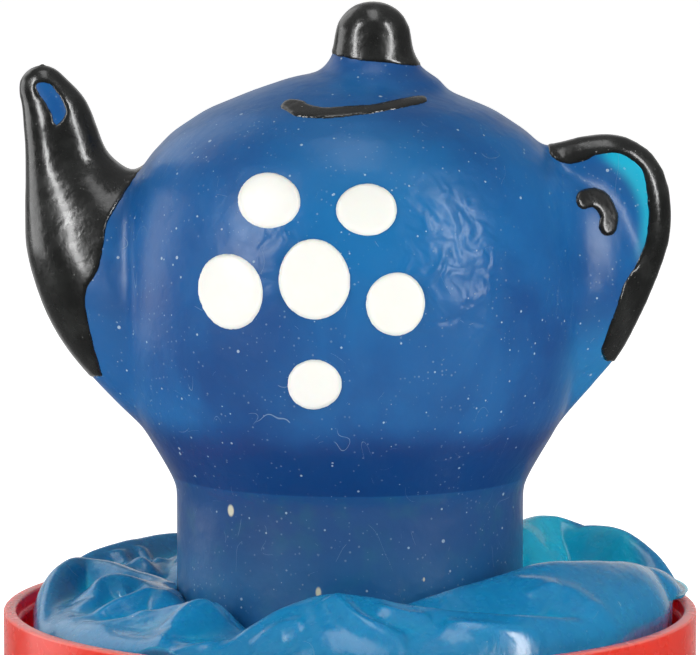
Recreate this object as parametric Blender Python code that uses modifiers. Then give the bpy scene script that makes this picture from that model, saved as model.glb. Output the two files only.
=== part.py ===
"""Teapot-shaped hollow latex figure standing on its own bunched-up thin sleeve in a round plastic tub.

Units are metres, +Z is up. The origin is the centre of the tub's base. The figure's spout points to -X,
its handle to +X, and the side with the painted dots faces -Y.
"""

from math import atan2, cos, pi, radians, sin

import bmesh
import bpy
from mathutils import Matrix, Vector

MM = 0.001

# Tub: an open round cup with a square-edged rim and a shallow step inside its mouth.
TUB_RADIUS = 33.0 * MM
TUB_HEIGHT = 34.0 * MM
TUB_WALL = 1.6 * MM
TUB_FLOOR = 1.6 * MM
TUB_BASE_BEVEL = 1.5 * MM
TUB_RIM_BEVEL = 0.25 * MM
TUB_STEP = 0.4 * MM
TUB_STEP_DEPTH = 1.4 * MM

# Figure: the turned bulb and neck, then what stands out of it.
WALL = 1.0 * MM
NECK_RADIUS = 16.5 * MM
NECK_BOTTOM = 4.0 * MM
NECK_SPARE = 2.0 * MM
BULB_OUTLINE = (  # radius and height of the bulb's turned outline, from the neck's crease to the shoulder
    (16.5, 45.6), (17.15, 47.0), (18.3, 49.0), (19.5, 51.0), (20.7, 53.5), (21.6, 56.5), (22.1, 60.0),
    (22.25, 64.0), (22.0, 68.0), (21.4, 71.5), (20.4, 74.5), (18.9, 77.0), (16.8, 79.2), (13.6, 81.3),
    (9.2, 83.1), (5.4, 84.4), (0.0, 85.2),
)
KNOB_OFFSET = 2.15 * MM
KNOB_RADIUS = 3.6 * MM
KNOB_CENTRE = 87.9 * MM
KNOB_SKIRT = (  # radius and height of the knob's flare, from its middle down into the bulb
    (3.6, 87.9), (3.7, 86.7), (4.6, 85.2), (6.6, 84.0), (6.6, 82.0),
)
SPOUT_LINE = (  # x, z and radius along the spout, from its tip to its root inside the bulb
    (-29.0, 83.3, 2.25), (-27.9, 81.1, 3.1), (-27.2, 78.6, 3.45), (-26.7, 76.0, 4.0), (-25.7, 73.2, 5.4),
    (-23.9, 69.8, 7.3), (-20.4, 65.2, 9.0), (-15.3, 60.2, 9.6), (-10.0, 55.5, 9.6),
)
EAR_LINE = (  # x and z of the middle of the handle's rolled edge, from the shoulder to the flare
    (17.0, 75.3), (19.6, 75.6), (22.2, 76.3), (24.9, 76.5), (27.1, 75.0), (27.9, 72.2), (27.8, 69.4),
    (26.7, 66.0), (25.3, 62.8), (23.4, 59.2), (20.6, 55.9), (17.6, 52.4),
)
EAR_EDGE_RADIUS = 2.4 * MM
EAR_WEB_HALF = 2.0 * MM
EAR_SWELL_CENTRE = Vector((19.0, 0.0, 65.5)) * MM
EAR_SWELL_HALF = Vector((8.2, 7.4, 10.5)) * MM
DIMPLE_CENTRE = Vector((23.0, 8.6, 69.6)) * MM
DIMPLE_RADIUS = 4.8 * MM
BLEND_VOXEL = 0.7 * MM
BLEND_PASSES = 7
SKIN_TRIANGLES = 2600

# Paint: every film is a layer of the figure's outer form, a little off the latex.
FILM_GAP = 0.12 * MM
FILM_THICKNESS = 0.30 * MM
SPOUT_COAT_EDGE = (  # x and z of the coat's border on the bulb, from above the valley to below the root
    (-18.7, 80.0), (-18.8, 77.6), (-19.4, 76.2), (-20.3, 74.9), (-21.4, 73.1), (-22.5, 71.3), (-22.9, 69.4),
    (-23.2, 67.2), (-24.5, 64.9), (-24.6, 63.3), (-24.2, 60.8), (-23.6, 58.2), (-23.2, 56.5),
)
SPOUT_MISS = ((-29.5, 83.9), (-28.0, 84.2), (-26.2, 81.0), (-27.6, 79.5), (-28.3, 81.7))
KNOB_COAT_EDGE = 86.0 * MM
KNOB_COAT_TILT = radians(-7.0)
STRIPE_EDGE = (  # x and z of the stripe's inner border, from the shoulder to the flare
    (18.7, 79.0), (18.7, 77.9), (19.0, 77.0), (20.4, 76.3), (21.9, 76.5), (23.3, 77.2), (25.3, 77.2),
    (27.2, 76.1), (27.7, 74.9), (28.0, 72.6), (28.1, 70.9), (27.7, 68.5), (26.8, 66.6), (25.7, 65.0),
    (25.0, 63.3), (24.3, 61.0), (23.7, 59.0), (24.0, 57.8), (24.8, 57.4), (26.4, 57.2),
)
HOOK_LINE = ((22.0, 73.1), (22.9, 73.2), (23.8, 72.6), (24.3, 71.5), (24.2, 70.5))
HOOK_HALF_WIDTH = 0.75 * MM
LID_STROKE = (  # x and z round the brush stroke, thick at its left end
    (-6.4, 82.1), (-5.6, 82.7), (-4.3, 82.6), (-3.8, 82.3), (-2.4, 82.1), (-0.4, 82.2), (1.6, 82.3),
    (3.6, 82.6), (5.6, 82.9), (6.9, 82.9), (7.1, 82.5), (6.6, 82.3), (4.6, 82.0), (2.6, 81.7), (1.1, 81.5),
    (-0.9, 81.3), (-2.4, 81.2), (-3.8, 81.2), (-5.1, 81.4), (-5.9, 81.8),
)
DOTS = (  # x, z, half width and half height of each dot
    (-7.3, 74.1, 2.8, 2.45), (1.5, 73.4, 2.7, 2.3), (-10.8, 65.9, 2.95, 3.4), (-3.2, 67.2, 3.25, 3.55),
    (4.1, 65.0, 2.7, 2.8), (-3.2, 57.7, 2.45, 2.3),
)
STENCIL_REACH = 40.0 * MM

# Sleeve: the space that the bunched thin latex fills between neck and tub, and the bead at its open end.
BUNCH_INNER = 17.2 * MM
BUNCH_OUTER = 30.9 * MM
BUNCH_BOTTOM = 5.2 * MM
BUNCH_SHOULDER = 31.5 * MM
BUNCH_CREST = 37.7 * MM
BUNCH_TILT = 1.4 * MM
BUNCH_HIGH_SIDE = radians(45.0)
BUNCH_LOBE = 0.6 * MM
BUNCH_LOBE_SIDE = radians(-95.0)
BUNCH_ARCH_STEPS = 8
BEAD_RADIUS = 28.6 * MM
BEAD_HALF_THICKNESS = 1.2 * MM
BEAD_HEIGHT = 3.3 * MM

TURN_STEPS = 64
BEAD_SIDES = 8

parts = bpy.data.collections.new("latex_teapot_in_tub")
cutters = bpy.data.collections.new("cutters")


def clear_scene():
    """Remove what a new file starts with."""
    for obj in list(bpy.data.objects):
        bpy.data.objects.remove(obj)


def paint(name, colour, roughness, metallic=0.0):
    """A plain Principled material."""
    material = bpy.data.materials.new(name)
    material.use_nodes = True
    shader = material.node_tree.nodes["Principled BSDF"]
    shader.inputs["Base Color"].default_value = (*colour, 1.0)
    shader.inputs["Roughness"].default_value = roughness
    shader.inputs["Metallic"].default_value = metallic
    return material


def part(name, mesh, material):
    """Make a sub-part of a mesh, smooth on its round faces."""
    obj = bpy.data.objects.new(name, mesh)
    parts.objects.link(obj)
    mesh.name = name
    mesh.materials.clear()
    mesh.materials.append(material)
    mesh.shade_smooth()
    mesh.set_sharp_from_angle(angle=radians(35.0))
    return obj


def guide(name, data):
    """An object that shapes others and isn't part of the model."""
    obj = bpy.data.objects.new(name, data)
    cutters.objects.link(obj)
    obj.display_type = "WIRE"
    obj.hide_render = True
    return obj


def evaluated_mesh(obj):
    """The mesh of an object with its modifiers done, in the object's own space, caps welded."""
    graph = bpy.context.evaluated_depsgraph_get()
    mesh = bpy.data.meshes.new_from_object(obj.evaluated_get(graph))
    form = bmesh.new()
    form.from_mesh(mesh)
    bmesh.ops.remove_doubles(form, verts=form.verts, dist=0.0001 * MM)
    form.to_mesh(mesh)
    form.free()
    return mesh


def bake(obj):
    """Replace an object by its evaluated mesh and return that mesh."""
    mesh = evaluated_mesh(obj)
    mesh.transform(obj.matrix_world)
    bpy.data.objects.remove(obj)
    return mesh


def turned(name, outline, steps=TURN_STEPS, closed=False):
    """Turn an outline of (radius, height) points, which runs down its outer side, about Z."""
    mesh = bpy.data.meshes.new(name)
    count = len(outline)
    edges = [(i, i + 1) for i in range(count - 1)]
    if closed:
        edges.append((count - 1, 0))
    mesh.from_pydata([(radius, 0.0, height) for radius, height in outline], edges, [])
    obj = guide(name, mesh)
    screw = obj.modifiers.new("turn", "SCREW")
    screw.axis = "Z"
    screw.steps = steps
    screw.render_steps = steps
    screw.use_merge_vertices = True
    screw.merge_threshold = 0.001 * MM
    return bake(obj)


def outward(mesh):
    """Turn every face of a closed mesh outwards."""
    form = bmesh.new()
    form.from_mesh(mesh)
    bmesh.ops.recalc_face_normals(form, faces=form.faces)
    form.to_mesh(mesh)
    form.free()
    return mesh


def ball(name, centre, half, segments=32, rings=20):
    """An ellipsoid with the given half sizes."""
    form = bmesh.new()
    size = Matrix.Diagonal((*half, 1.0))
    place = Matrix.Translation(centre)
    bmesh.ops.create_uvsphere(form, u_segments=segments, v_segments=rings, radius=1.0, matrix=place @ size)
    mesh = bpy.data.meshes.new(name)
    form.to_mesh(mesh)
    form.free()
    return mesh


def rod(name, points, radii, resolution=6):
    """A round bar through points in the plane y = 0, with a radius at each point, as a closed mesh."""
    curve = bpy.data.curves.new(name, "CURVE")
    curve.dimensions = "3D"
    curve.bevel_depth = 1.0
    curve.bevel_resolution = 4
    curve.use_fill_caps = True
    curve.resolution_u = resolution
    spline = curve.splines.new("BEZIER")
    spline.bezier_points.add(len(points) - 1)
    for knot, (x, z), radius in zip(spline.bezier_points, points, radii):
        knot.co = (x * MM, 0.0, z * MM)
        knot.radius = radius
        knot.handle_left_type = "AUTO"
        knot.handle_right_type = "AUTO"
    return outward(bake(guide(name, curve)))


def plate(name, outline, near, far):
    """A flat outline of (x, z) points in millimetres, made solid between two depths along Y."""
    curve = bpy.data.curves.new(name, "CURVE")
    curve.dimensions = "2D"
    curve.fill_mode = "BOTH"
    curve.extrude = 0.5 * (far - near)
    spline = curve.splines.new("POLY")
    spline.points.add(len(outline) - 1)
    for point, (x, z) in zip(spline.points, outline):
        point.co = (x * MM, z * MM, 0.0, 1.0)
    spline.use_cyclic_u = True
    obj = guide(name, curve)
    obj.matrix_world = Matrix.Translation((0.0, 0.5 * (near + far), 0.0)) @ Matrix.Rotation(pi / 2, 4, "X")
    return outward(bake(obj))


def joined(name, meshes):
    """Several meshes as one mesh of separate closed bodies."""
    form = bmesh.new()
    for mesh in meshes:
        form.from_mesh(mesh)
    whole = bpy.data.meshes.new(name)
    form.to_mesh(whole)
    form.free()
    return whole


def combined(mesh, cutter, operation):
    """The Boolean of two closed meshes."""
    obj = guide("work", mesh.copy())
    other = guide("tool", cutter)
    boolean = obj.modifiers.new("cut", "BOOLEAN")
    boolean.operation = operation
    boolean.solver = "EXACT"
    boolean.object = other
    result = bake(obj)
    bpy.data.objects.remove(other)
    return result


def blended(mesh, passes):
    """Melt overlapping bodies into one skin with soft fillets where they meet."""
    obj = guide("blend", mesh)
    remesh = obj.modifiers.new("melt", "REMESH")
    remesh.mode = "VOXEL"
    remesh.voxel_size = BLEND_VOXEL
    smooth = obj.modifiers.new("soften", "SMOOTH")
    smooth.factor = 0.5
    smooth.iterations = passes
    return bake(obj)


def thinned(mesh, triangles):
    """The same skin with about the given number of triangles."""
    obj = guide("thin", mesh)
    mesh.calc_loop_triangles()
    decimate = obj.modifiers.new("thin", "DECIMATE")
    decimate.ratio = triangles / len(mesh.loop_triangles)
    decimate.use_collapse_triangulate = True
    return bake(obj)


def offset(mesh, distance):
    """A copy of a closed skin moved along its normals."""
    obj = guide("offset", mesh.copy())
    displace = obj.modifiers.new("offset", "DISPLACE")
    displace.direction = "NORMAL"
    displace.mid_level = 0.0
    displace.strength = distance
    return bake(obj)


def box(name, low, high):
    """A box between two corners."""
    form = bmesh.new()
    low, high = Vector(low), Vector(high)
    place = Matrix.Translation((low + high) / 2) @ Matrix.Diagonal((*(high - low), 1.0))
    bmesh.ops.create_cube(form, size=1.0, matrix=place)
    mesh = bpy.data.meshes.new(name)
    form.to_mesh(mesh)
    form.free()
    return mesh


def figure_form():
    """The figure's whole outer form as one closed skin, running a little past the neck's end."""
    bulb = [(radius * MM, height * MM) for radius, height in reversed(BULB_OUTLINE)]
    bottom = NECK_BOTTOM - NECK_SPARE
    outline = bulb + [(NECK_RADIUS, bottom), (0.0, bottom)]
    pieces = [turned("bulb", outline)]

    centre = Vector((KNOB_OFFSET, 0.0, KNOB_CENTRE))
    pieces.append(ball("knob", centre, (KNOB_RADIUS,) * 3))
    rings = [(radius * MM, height * MM) for radius, height in KNOB_SKIRT]
    foot = turned("foot", [(0.0, rings[0][1]), *rings, (0.0, rings[-1][1])], steps=32)
    foot.transform(Matrix.Translation((KNOB_OFFSET, 0.0, 0.0)))
    pieces.append(foot)

    spout = [(x, z) for x, z, _ in SPOUT_LINE]
    radii = [radius * MM for _, _, radius in SPOUT_LINE]
    pieces.append(rod("spout", spout, radii))
    pieces.append(ball("tip", Vector((spout[0][0], 0.0, spout[0][1])) * MM, (radii[0],) * 3))

    pieces.append(rod("ear_edge", EAR_LINE, [EAR_EDGE_RADIUS] * len(EAR_LINE)))
    pieces.append(plate("ear_web", EAR_LINE, -EAR_WEB_HALF, EAR_WEB_HALF))
    pieces.append(ball("ear_swell", EAR_SWELL_CENTRE, EAR_SWELL_HALF))

    skin = blended(joined("figure", pieces), 0)
    for side in (-1.0, 1.0):
        centre = DIMPLE_CENTRE * Vector((1.0, side, 1.0))
        skin = combined(skin, ball("dimple", centre, (DIMPLE_RADIUS,) * 3), "DIFFERENCE")
    return thinned(blended(skin, BLEND_PASSES), SKIN_TRIANGLES)


def band(line, half_width):
    """The outline of a painted stroke with round ends that follows a line of (x, z) points in millimetres."""
    width = half_width / MM
    left, right = [], []
    for i, (x, z) in enumerate(line):
        before, after = Vector(line[max(i - 1, 0)]), Vector(line[min(i + 1, len(line) - 1)])
        along = (after - before).normalized()
        side = Vector((-along.y, along.x)) * width
        left.append((x + side.x, z + side.y))
        right.append((x - side.x, z - side.y))
    start, end = Vector(line[0]), Vector(line[-1])
    head = (end - Vector(line[-2])).normalized() * width
    tail = (start - Vector(line[1])).normalized() * width
    return [tuple(start + tail), *left, tuple(end + head), *reversed(right)]


def oval(x, z, half_width, half_height, steps=20):
    """The outline of an oval dot in millimetres."""
    turns = [2 * pi * i / steps for i in range(steps)]
    return [(x + half_width * cos(turn), z + half_height * sin(turn)) for turn in turns]


def tub():
    """The tub as one turned shell: floor, wall, square rim and the step inside the mouth."""
    inner = TUB_RADIUS - TUB_WALL
    outline = (
        (0.0, TUB_FLOOR), (inner - TUB_STEP, TUB_FLOOR), (inner, TUB_FLOOR + TUB_STEP),
        (inner, TUB_HEIGHT - TUB_STEP_DEPTH), (inner + TUB_STEP, TUB_HEIGHT - TUB_STEP_DEPTH),
        (inner + TUB_STEP, TUB_HEIGHT - TUB_RIM_BEVEL), (inner + TUB_STEP + TUB_RIM_BEVEL, TUB_HEIGHT),
        (TUB_RADIUS - TUB_RIM_BEVEL, TUB_HEIGHT), (TUB_RADIUS, TUB_HEIGHT - TUB_RIM_BEVEL),
        (TUB_RADIUS, TUB_BASE_BEVEL), (TUB_RADIUS - TUB_BASE_BEVEL * 0.3, TUB_BASE_BEVEL * 0.3),
        (TUB_RADIUS - TUB_BASE_BEVEL, 0.0), (0.0, 0.0),
    )
    return turned("tub", outline)


def crest_height(turn):
    """Height of the bunched sleeve's crest at an angle about Z: gathered in uneven lobes."""
    tilt = BUNCH_TILT * cos(turn - BUNCH_HIGH_SIDE)
    lobes = BUNCH_LOBE * cos(3 * (turn - BUNCH_LOBE_SIDE))
    return BUNCH_CREST + tilt + lobes


def sleeve_bunch():
    """The space of the bunched sleeve: a ring with an arched, uneven top."""
    half = 0.5 * (BUNCH_OUTER - BUNCH_INNER)
    middle = BUNCH_INNER + half
    rise = BUNCH_CREST - BUNCH_SHOULDER
    outline = [(BUNCH_INNER, BUNCH_BOTTOM)]
    for step in range(BUNCH_ARCH_STEPS + 1):
        turn = pi - pi * step / BUNCH_ARCH_STEPS
        outline.append((middle + half * cos(turn), BUNCH_SHOULDER + rise * sin(turn)))
    outline.append((BUNCH_OUTER, BUNCH_BOTTOM))
    mesh = turned("bunch", outline, closed=True)
    for vertex in mesh.vertices:
        x, y, z = vertex.co
        lift = (z - BUNCH_SHOULDER) / rise
        if lift > 0.0:
            vertex.co.z += lift * (crest_height(atan2(y, x)) - BUNCH_CREST)
    return outward(mesh)


def rim_bead():
    """The rolled bead at the sleeve's open end, lying on the tub's floor."""
    outline = []
    for step in range(BEAD_SIDES):
        turn = -2 * pi * step / BEAD_SIDES
        outline.append((BEAD_RADIUS + BEAD_HALF_THICKNESS * cos(turn),
                        BEAD_HEIGHT + BEAD_HALF_THICKNESS * sin(turn)))
    return outward(turned("bead", outline, steps=48, closed=True))


def teapot_shell(skin):
    """The hollow latex figure, open at the end of its neck."""
    solid = combined(skin, offset(skin, -WALL), "DIFFERENCE")
    reach = 2.0 * NECK_RADIUS
    below = box("below", (-reach, -reach, -reach), (reach, reach, NECK_BOTTOM))
    return combined(solid, below, "DIFFERENCE")


def film(layer, outline, near=-STENCIL_REACH, far=STENCIL_REACH):
    """The part of a paint layer that lies inside an outline, between two depths along Y."""
    return combined(layer, plate("stencil", outline, near, far), "INTERSECT")


def build():
    """Make every sub-part."""
    clear_scene()
    for collection in (parts, cutters):
        bpy.context.scene.collection.children.link(collection)

    red = paint("red_plastic", (0.78, 0.05, 0.04), 0.25)
    thick = paint("thick_latex", (0.01, 0.10, 0.38), 0.35)
    thin = paint("thin_latex", (0.01, 0.27, 0.55), 0.30)
    black = paint("black_paint", (0.015, 0.015, 0.015), 0.35)
    white = paint("white_paint", (0.93, 0.93, 0.88), 0.45)

    part("tub", tub(), red)
    part("sleeve_bunch", sleeve_bunch(), thin)
    part("rim_bead", rim_bead(), thin)

    skin = figure_form()
    part("teapot_shell", teapot_shell(skin), thick)

    layer = combined(offset(skin, FILM_GAP + FILM_THICKNESS), offset(skin, FILM_GAP), "DIFFERENCE")
    reach = STENCIL_REACH / MM
    (start_x, start_z), (_, end_z) = SPOUT_COAT_EDGE[0], SPOUT_COAT_EDGE[-1]
    spout_side = [(-reach, start_z + reach), (start_x, start_z + reach), *SPOUT_COAT_EDGE, (-reach, end_z)]
    coat = film(layer, spout_side)
    coat = combined(coat, plate("miss", SPOUT_MISS, -STENCIL_REACH, 0.0), "DIFFERENCE")
    part("spout_coat", coat, black)

    wide = 3.0 * KNOB_RADIUS
    above = box("above", (-wide, -wide, 0.0), (wide, wide, wide))
    dip = Matrix.Translation((KNOB_OFFSET, 0.0, KNOB_COAT_EDGE)) @ Matrix.Rotation(KNOB_COAT_TILT, 4, "Y")
    above.transform(dip)
    part("knob_coat", combined(layer, above, "INTERSECT"), black)

    (start_x, start_z), (_, end_z) = STRIPE_EDGE[0], STRIPE_EDGE[-1]
    handle_side = [*STRIPE_EDGE, (reach, end_z), (reach, start_z + reach), (start_x, start_z + reach)]
    part("handle_stripe", film(layer, handle_side), black)
    part("handle_hook", film(layer, band(HOOK_LINE, HOOK_HALF_WIDTH), far=0.0), black)
    part("lid_line", film(layer, LID_STROKE, far=0.0), black)
    for number, (x, z, half_width, half_height) in enumerate(DOTS, start=1):
        part(f"dot_{number}", film(layer, oval(x, z, half_width, half_height), far=0.0), white)


build()
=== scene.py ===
"""Looks of a hollow, teapot-shaped latex figure standing on its own gathered sleeve in a round plastic tub.

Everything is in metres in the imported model's frame: +Z up, the spout at -X, the handle at +X and the dots
facing -Y. Sizes given as plain numbers in outlines are millimetres, which the makers turn into metres.
"""

import logging
from collections.abc import Sequence
from dataclasses import dataclass
from enum import Enum
from math import cos, pi, radians, sin

import bmesh
import bpy
import numpy as np
from mathutils import Matrix, Vector, noise


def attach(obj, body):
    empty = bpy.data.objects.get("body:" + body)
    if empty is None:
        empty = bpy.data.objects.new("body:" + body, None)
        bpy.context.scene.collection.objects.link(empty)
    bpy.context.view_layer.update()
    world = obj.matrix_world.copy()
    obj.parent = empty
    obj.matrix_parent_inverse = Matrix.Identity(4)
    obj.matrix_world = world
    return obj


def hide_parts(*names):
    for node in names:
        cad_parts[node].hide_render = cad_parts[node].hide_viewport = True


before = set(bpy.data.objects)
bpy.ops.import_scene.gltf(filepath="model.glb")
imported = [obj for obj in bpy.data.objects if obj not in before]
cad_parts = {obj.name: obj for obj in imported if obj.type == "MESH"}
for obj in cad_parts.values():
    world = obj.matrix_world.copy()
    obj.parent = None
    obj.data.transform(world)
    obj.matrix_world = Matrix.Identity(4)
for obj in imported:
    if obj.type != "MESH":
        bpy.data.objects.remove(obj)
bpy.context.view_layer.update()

MM = 0.001
TINY = 1e-12
# the sleeve's depth below its ridges, which sets its painted glow and painted shade
DEPTH = "fold_depth"
LOG = logging.getLogger("latex_teapot")

Point2 = tuple[float, float]
Point3 = tuple[float, float, float]
Colour = tuple[float, float, float]
Material = bpy.types.Material
Mesh = bpy.types.Mesh
Socket = bpy.types.NodeSocket


class Body(Enum):
    """The rigid bodies that pieces ride on."""

    TUB = "tub"
    SLEEVE = "sleeve"
    FIGURE = "figure"


class Side(Enum):
    """Which side of the figure a coat of paint covers."""

    FRONT = "front"
    ALL_ROUND = "all round"


# --- Shared mesh work ---


def link(name: str, mesh: Mesh) -> bpy.types.Object:
    """Put a mesh in the scene as a new object."""
    obj = bpy.data.objects.new(name, mesh)
    bpy.context.scene.collection.objects.link(obj)
    return obj


def baked(obj: bpy.types.Object) -> Mesh:
    """Replace an object by the mesh that its modifiers make.

    Args:
        obj: the object, which is removed.

    Returns:
        The evaluated mesh in world space.
    """
    graph = bpy.context.evaluated_depsgraph_get()
    mesh = bpy.data.meshes.new_from_object(obj.evaluated_get(graph))
    mesh.transform(obj.matrix_world)
    bpy.data.objects.remove(obj)
    return mesh


def grid_mesh(name: str, points: np.ndarray, wrap_u: bool = False, wrap_v: bool = False,
              caps: bool = False) -> Mesh:
    """Make a mesh of quads from a grid of points.

    Args:
        name: the mesh's name.
        points: an array of rows, columns and x, y, z, in metres.
        wrap_u: join the last row to the first.
        wrap_v: join the last column to the first.
        caps: close the first and last row with one face each.

    Returns:
        The mesh, faces turned outwards.
    """
    rows, columns = points.shape[:2]
    index = np.arange(rows * columns).reshape(rows, columns)
    row_steps = rows if wrap_u else rows - 1
    column_steps = columns if wrap_v else columns - 1
    faces = []
    for i in range(row_steps):
        for j in range(column_steps):
            k, m = (i + 1) % rows, (j + 1) % columns
            faces.append((int(index[i, j]), int(index[k, j]), int(index[k, m]), int(index[i, m])))
    if caps:
        faces.append(tuple(int(n) for n in index[0]))
        faces.append(tuple(int(n) for n in reversed(index[-1])))
    mesh = bpy.data.meshes.new(name)
    mesh.from_pydata(points.reshape(-1, 3).tolist(), [], faces)
    form = bmesh.new()
    form.from_mesh(mesh)
    bmesh.ops.remove_doubles(form, verts=form.verts, dist=0.0001 * MM)
    bmesh.ops.recalc_face_normals(form, faces=form.faces)
    form.to_mesh(mesh)
    form.free()
    return mesh


def turned(name: str, outline: Sequence[Point2], steps: int) -> Mesh:
    """Turn an outline of (radius, height) points in millimetres about Z.

    Args:
        name: the mesh's name.
        outline: the points, from the axis back to the axis.
        steps: how many sides the turned shape has.

    Returns:
        The closed mesh.
    """
    turns = np.linspace(0.0, 2 * pi, steps, endpoint=False)
    radii, heights = (np.array(outline) * MM).T[:, :, None]
    return grid_mesh(name, around(radii, turns, heights), wrap_v=True)


def around(radius: np.ndarray, turn: np.ndarray, height: np.ndarray) -> np.ndarray:
    """Points round the Z axis, from their radii, turns and heights."""
    rows = np.broadcast_arrays(radius * np.cos(turn), radius * np.sin(turn), height)
    return np.stack(rows, axis=-1)


def rising(value: np.ndarray | float, start: np.ndarray | float, width: float) -> np.ndarray:
    """A straight step: 0 up to a start, and 1 from a width further on."""
    return np.clip((value - start) / width, 0.0, 1.0)


def smooth_line(points: Sequence[Sequence[float]], spans: int = 8, closed: bool = False) -> np.ndarray:
    """Sample a smooth curve that passes through points.

    Args:
        points: the points, of any number of values each.
        spans: how many samples each stretch between two points gets.
        closed: join the last point to the first.

    Returns:
        The samples, one row each.
    """
    knots = np.asarray(points, dtype=float)
    count = len(knots)
    samples = []
    for i in range(count if closed else count - 1):
        near = [i + k for k in (-1, 0, 1, 2)]
        picked = [n % count if closed else min(max(n, 0), count - 1) for n in near]
        before, start, end, after = knots[picked]
        for step in range(spans):
            t = step / spans
            samples.append(0.5 * (2 * start + (end - before) * t
                                  + (2 * before - 5 * start + 4 * end - after) * t ** 2
                                  + (3 * start - before - 3 * end + after) * t ** 3))
    if not closed:
        samples.append(knots[-1])
    return np.array(samples)


def nearest(line: np.ndarray, x: np.ndarray, y: np.ndarray) -> tuple[np.ndarray, np.ndarray, np.ndarray]:
    """Find where a line comes nearest to points.

    Args:
        line: the x and y of the line's corners, one row each.
        x: the points' x.
        y: the points' y.

    Returns:
        The squared distance, the place along the line counted in its stretches, and a number that is
        above 0 on the line's left.
    """
    best = np.full(x.shape, np.inf)
    place, side = np.zeros(x.shape), np.zeros(x.shape)
    for i, (start, end) in enumerate(zip(line[:-1], line[1:])):
        step = end - start
        length = step @ step
        if length < TINY:
            continue
        across, along = x - start[0], y - start[1]
        t = np.clip((across * step[0] + along * step[1]) / length, 0.0, 1.0)
        away = (across - t * step[0]) ** 2 + (along - t * step[1]) ** 2
        closer = away < best
        best = np.where(closer, away, best)
        place = np.where(closer, i + t, place)
        side = np.where(closer, step[0] * along - step[1] * across, side)
    return best, place, side


def tapered_bar(name: str, line: Sequence[Sequence[float]], sides: int = 32) -> Mesh:
    """Make a round bar in the plane y = 0.

    Args:
        name: the mesh's name.
        line: x, z and radius at each point, in millimetres.
        sides: how many sides the bar has.

    Returns:
        The closed mesh.
    """
    samples = smooth_line(line) * MM
    along = np.gradient(samples[:, :2], axis=0)
    along /= np.linalg.norm(along, axis=1)[:, None]
    turns = np.linspace(0.0, 2 * pi, sides, endpoint=False)
    radii = samples[:, 2][:, None]
    across = radii * np.cos(turns)
    points = np.stack([
        samples[:, 0][:, None] - along[:, 1][:, None] * across,
        radii * np.sin(turns),
        samples[:, 1][:, None] + along[:, 0][:, None] * across,
    ], axis=-1)
    return grid_mesh(name, points, wrap_v=True, caps=True)


def finished(form: bmesh.types.BMesh, name: str) -> Mesh:
    """Turn an edit mesh into a new mesh and free it."""
    mesh = bpy.data.meshes.new(name)
    form.to_mesh(mesh)
    form.free()
    return mesh


def ball(name: str, centre: Point3, half: Point3, segments: int = 48) -> Mesh:
    """Make an ellipsoid with the given centre and half sizes, in millimetres."""
    form = bmesh.new()
    sizes = Matrix.Diagonal((*(size * MM for size in half), 1.0))
    bmesh.ops.create_uvsphere(form, u_segments=segments, v_segments=segments // 2, radius=1.0,
                              matrix=Matrix.Translation(Vector(centre) * MM) @ sizes)
    return finished(form, name)


def web(name: str, line: Sequence[Point2], half: float) -> Mesh:
    """Make a flat plate that fills an outline of (x, z) points, from half its thickness, in millimetres."""
    outline = smooth_line(line, spans=4) * MM
    form = bmesh.new()
    near = [form.verts.new((x, -half * MM, z)) for x, z in outline]
    drawn = bmesh.ops.extrude_face_region(form, geom=[form.faces.new(near)])
    moved = [item for item in drawn["geom"] if isinstance(item, bmesh.types.BMVert)]
    bmesh.ops.translate(form, verts=moved, vec=(0.0, 2 * half * MM, 0.0))
    bmesh.ops.triangulate(form, faces=form.faces)
    bmesh.ops.recalc_face_normals(form, faces=form.faces)
    return finished(form, name)


def joined(name: str, meshes: Sequence[Mesh]) -> Mesh:
    """Put several meshes in one."""
    form = bmesh.new()
    for mesh in meshes:
        form.from_mesh(mesh)
    return finished(form, name)


def walled(name: str, mesh: Mesh, wall: float) -> Mesh:
    """Give a skin a wall of a thickness in millimetres on its inner side."""
    obj = link(name, mesh)
    solid = obj.modifiers.new("wall", "SOLIDIFY")
    solid.thickness = wall * MM
    solid.offset = -1.0
    return baked(obj)


def melted(mesh: Mesh, voxel: float, passes: int) -> Mesh:
    """Melt overlapping bodies into one skin and smooth it.

    Args:
        mesh: the overlapping closed bodies.
        voxel: the grid's pitch in metres.
        passes: how many times the skin is smoothed.

    Returns:
        The one closed skin.
    """
    obj = link("melt", mesh)
    remesh = obj.modifiers.new("melt", "REMESH")
    remesh.mode = "VOXEL"
    remesh.voxel_size = voxel
    smooth = obj.modifiers.new("soften", "SMOOTH")
    smooth.factor = 0.5
    smooth.iterations = passes
    return baked(obj)


def hollowed(mesh: Mesh, ball_mesh: Mesh) -> Mesh:
    """Cut a ball out of a closed mesh."""
    obj = link("cut", mesh)
    cutter = link("cutter", ball_mesh)
    boolean = obj.modifiers.new("cut", "BOOLEAN")
    boolean.operation = "DIFFERENCE"
    boolean.object = cutter
    result = baked(obj)
    bpy.data.objects.remove(cutter)
    return result


def dressed(obj: bpy.types.Object, material: Material, sharp: float = 40.0) -> bpy.types.Object:
    """Give a piece its material and smooth it, but for edges sharper than an angle in degrees."""
    obj.data.materials.clear()
    obj.data.materials.append(material)
    obj.data.shade_smooth()
    obj.data.set_sharp_from_angle(angle=radians(sharp))
    return obj


def placed(obj: bpy.types.Object, body: Body, slot: str, *nodes: str) -> None:
    """Let a piece ride on a body and stand for CAD nodes, which are hidden."""
    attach(obj, body.value)
    if nodes:
        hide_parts(*nodes)
    LOG.info("%s rides on %s and stands for %s", obj.name, body.value, ", ".join(nodes) or "nothing")


# --- Finishes ---


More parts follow.
